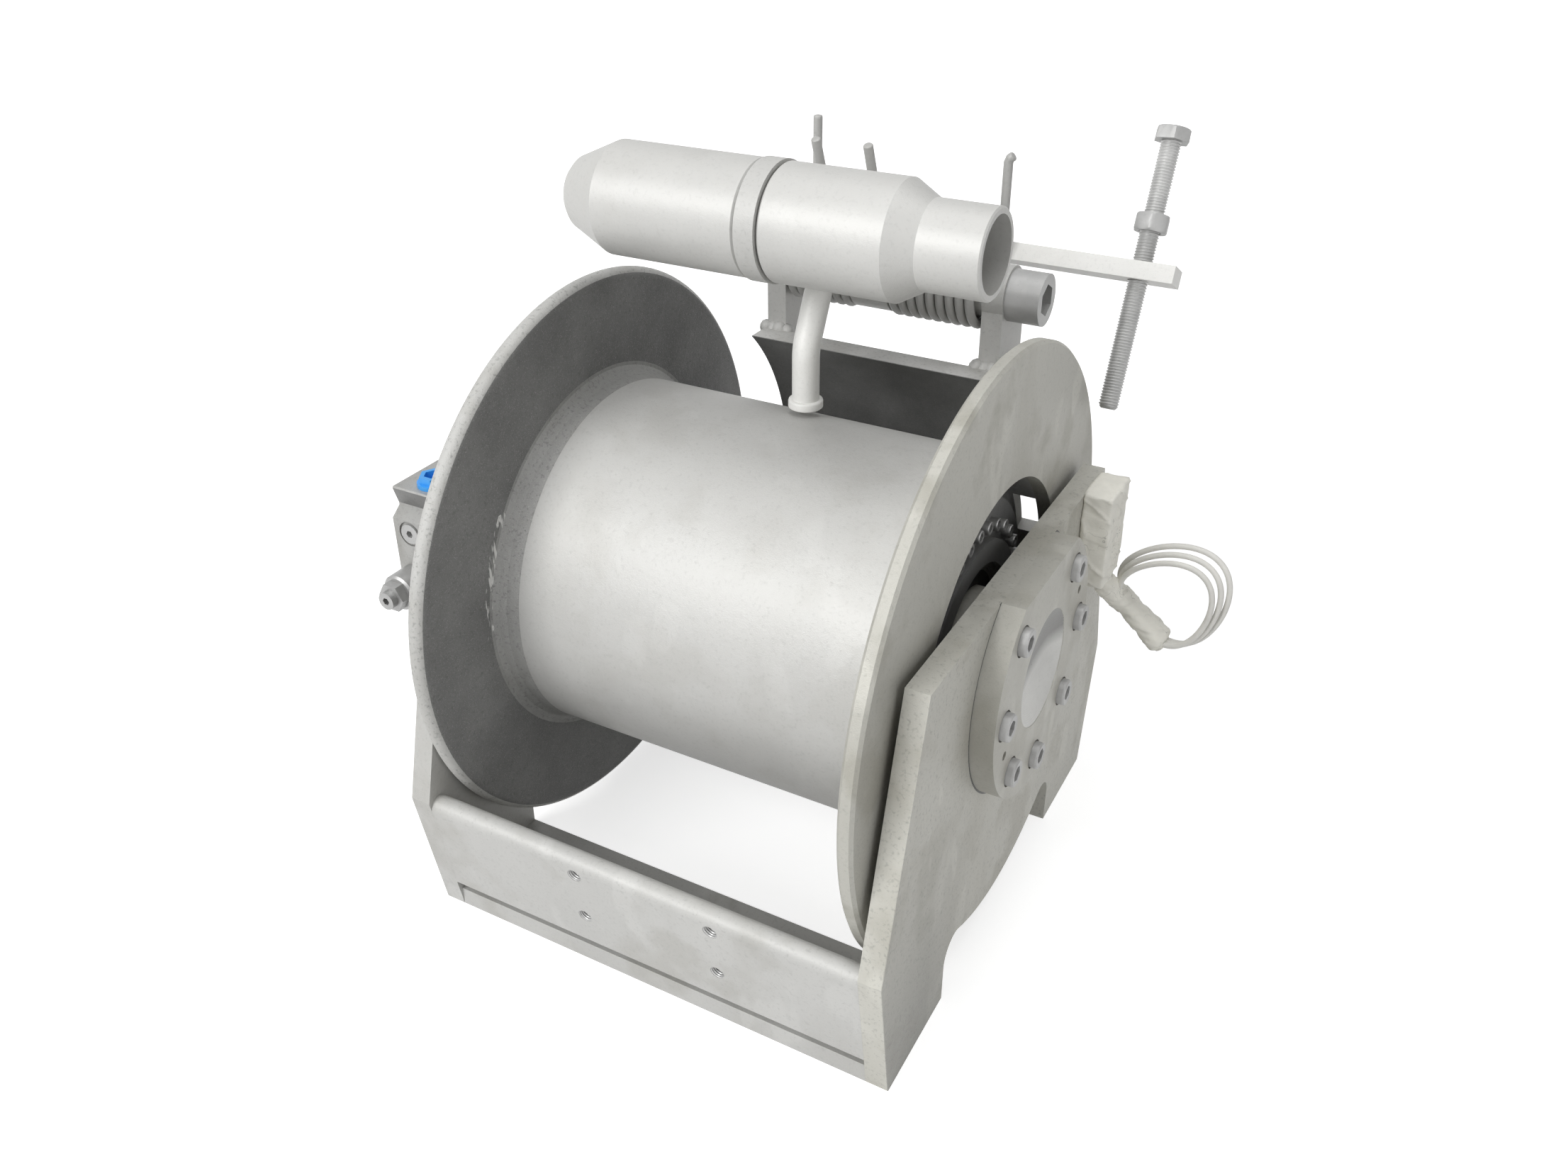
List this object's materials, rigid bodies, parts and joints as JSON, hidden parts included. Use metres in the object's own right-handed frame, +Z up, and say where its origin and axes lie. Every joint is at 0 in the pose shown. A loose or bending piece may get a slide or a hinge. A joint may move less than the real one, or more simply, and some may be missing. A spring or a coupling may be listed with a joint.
{
  "type": "hydraulic winch",
  "caption": "Hydraulic winch with a flanged rope drum between two side plates, a planetary drive inside the drum and a spring-loaded rope pressure arm with rollers.",
  "frame": {"origin": "centre of the base bolt pattern on the floor, below the middle of the drum", "axes": "+Z up, +X along the drum axis towards the bearing cap, -Y towards the front beam"},
  "size_m": [0.5401, 0.4583, 0.501],
  "materials": {
    "paint": "matt grey primer over blasted steel",
    "spring_paint": "matt grey primer on spring wire",
    "casting": "matt dark grey",
    "steel": "dull zinc and oiled steel",
    "bronze": "sintered bronze",
    "seal": "black rubber",
    "switch_body": "black moulded plastic",
    "tape": "cream paper masking tape",
    "cable": "off-white sheath",
    "blue_plastic": "blue transport plug"
  },
  "bodies": {
    "frame": {"side_plate_right": "paint", "side_plate_left": "paint", "front_beam": "paint", "front_foot_plate": "paint", "rear_beam": "paint", "rear_foot_plate": "paint", "rope_guard": "paint", "pivot_lug_right": "paint", "pivot_lug_left": "paint", "bearing_cap": "paint", "cap_screws": "steel", "bearing_right_inner": "steel", "bearing_left_inner": "steel", "drive_support": "paint", "support_screws": "steel", "planet_carrier": "casting", "planet_pins": "steel", "brake_plates": "steel", "hydraulic_motor": "casting", "motor_screws": "steel", "valve_block": "casting", "relief_cartridge": "steel", "port_plug": "steel", "blue_port_plug": "blue_plastic", "pivot_screw": "steel", "pivot_nut": "steel", "spring_right": "spring_paint", "spring_left": "spring_paint", "limit_switch": "switch_body", "switch_tape": "tape", "switch_cable": "cable", "cable_tape": "tape"},
    "drum": {"drum_barrel": "paint", "flange_right": "paint", "flange_left": "paint", "drum_hub_right": "casting", "drum_hub_left": "casting", "hub_cover": "casting", "hub_cover_screws": "steel", "hub_seal": "seal", "bearing_right_outer": "steel", "bearing_left_outer": "steel", "ring_gear": "steel"},
    "cage_right": {"bearing_right_cage": "bronze"},
    "cage_left": {"bearing_left_cage": "bronze"},
    "planet_1": {"planet_gear_1": "steel"},
    "planet_2": {"planet_gear_2": "steel"},
    "planet_3": {"planet_gear_3": "steel"},
    "sun": {"sun_shaft": "steel", "brake_discs": "bronze"},
    "arm": {"press_arm": "paint", "arm_bushes": "bronze", "spring_pin": "steel", "roller_shaft": "steel", "feeler_tube": "paint", "stop_bar": "paint"},
    "right_roller": {"roller_right": "paint"},
    "left_roller": {"roller_left": "paint"},
    "bolt": {"stop_bolt": "steel"},
    "nut": {"lock_nut": "steel"}
  },
  "joints": [
    {"name": "drum_spin", "type": "hinge", "parent": "frame", "child": "drum", "pos_m": [0, 0, 0.205], "axis": [1, 0, 0], "continuous": true},
    {"name": "cage_right_spin", "type": "hinge", "parent": "frame", "child": "cage_right", "pos_m": [0, 0, 0.205], "axis": [1, 0, 0], "continuous": true},
    {"name": "cage_left_spin", "type": "hinge", "parent": "frame", "child": "cage_left", "pos_m": [0, 0, 0.205], "axis": [1, 0, 0], "continuous": true},
    {"name": "sun_spin", "type": "hinge", "parent": "frame", "child": "sun", "pos_m": [0, 0, 0.205], "axis": [1, 0, 0], "continuous": true},
    {"name": "planet_1_spin", "type": "hinge", "parent": "frame", "child": "planet_1", "pos_m": [0, 0, 0.268], "axis": [1, 0, 0], "continuous": true},
    {"name": "planet_2_spin", "type": "hinge", "parent": "frame", "child": "planet_2", "pos_m": [0, -0.05456, 0.1735], "axis": [1, 0, 0], "continuous": true},
    {"name": "planet_3_spin", "type": "hinge", "parent": "frame", "child": "planet_3", "pos_m": [0, 0.05456, 0.1735], "axis": [1, 0, 0], "continuous": true},
    {"name": "arm_lift", "type": "hinge", "parent": "frame", "child": "arm", "pos_m": [0, 0.164, 0.382], "axis": [-1, 0, 0], "range_deg": [0, 28], "stiffness_Nm_per_rad": 30, "springref_deg": -22.92, "deforming": ["spring_right", "spring_left"]},
    {"name": "right_roller_spin", "type": "hinge", "parent": "arm", "child": "right_roller", "pos_m": [0, -0.008, 0.465], "axis": [1, 0, 0], "continuous": true},
    {"name": "left_roller_spin", "type": "hinge", "parent": "arm", "child": "left_roller", "pos_m": [0, -0.008, 0.465], "axis": [1, 0, 0], "continuous": true},
    {"name": "bolt_adjust", "type": "slide", "parent": "arm", "child": "bolt", "axis": [0, 0.4384, 0.8988], "range_m": [-0.01, 0.02]},
    {"name": "nut_adjust", "type": "slide", "parent": "bolt", "child": "nut", "axis": [0, 0.4384, 0.8988], "range_m": [-0.01, 0.04]}
  ],
  "couplings": [
    {"joint": "cage_right_spin", "follows": "drum_spin", "ratio": 0.5636},
    {"joint": "cage_left_spin", "follows": "drum_spin", "ratio": 0.5412},
    {"joint": "sun_spin", "follows": "drum_spin", "ratio": -3.6667},
    {"joint": "planet_1_spin", "follows": "drum_spin", "ratio": 2.75},
    {"joint": "planet_2_spin", "follows": "drum_spin", "ratio": 2.75},
    {"joint": "planet_3_spin", "follows": "drum_spin", "ratio": 2.75}
  ]
}
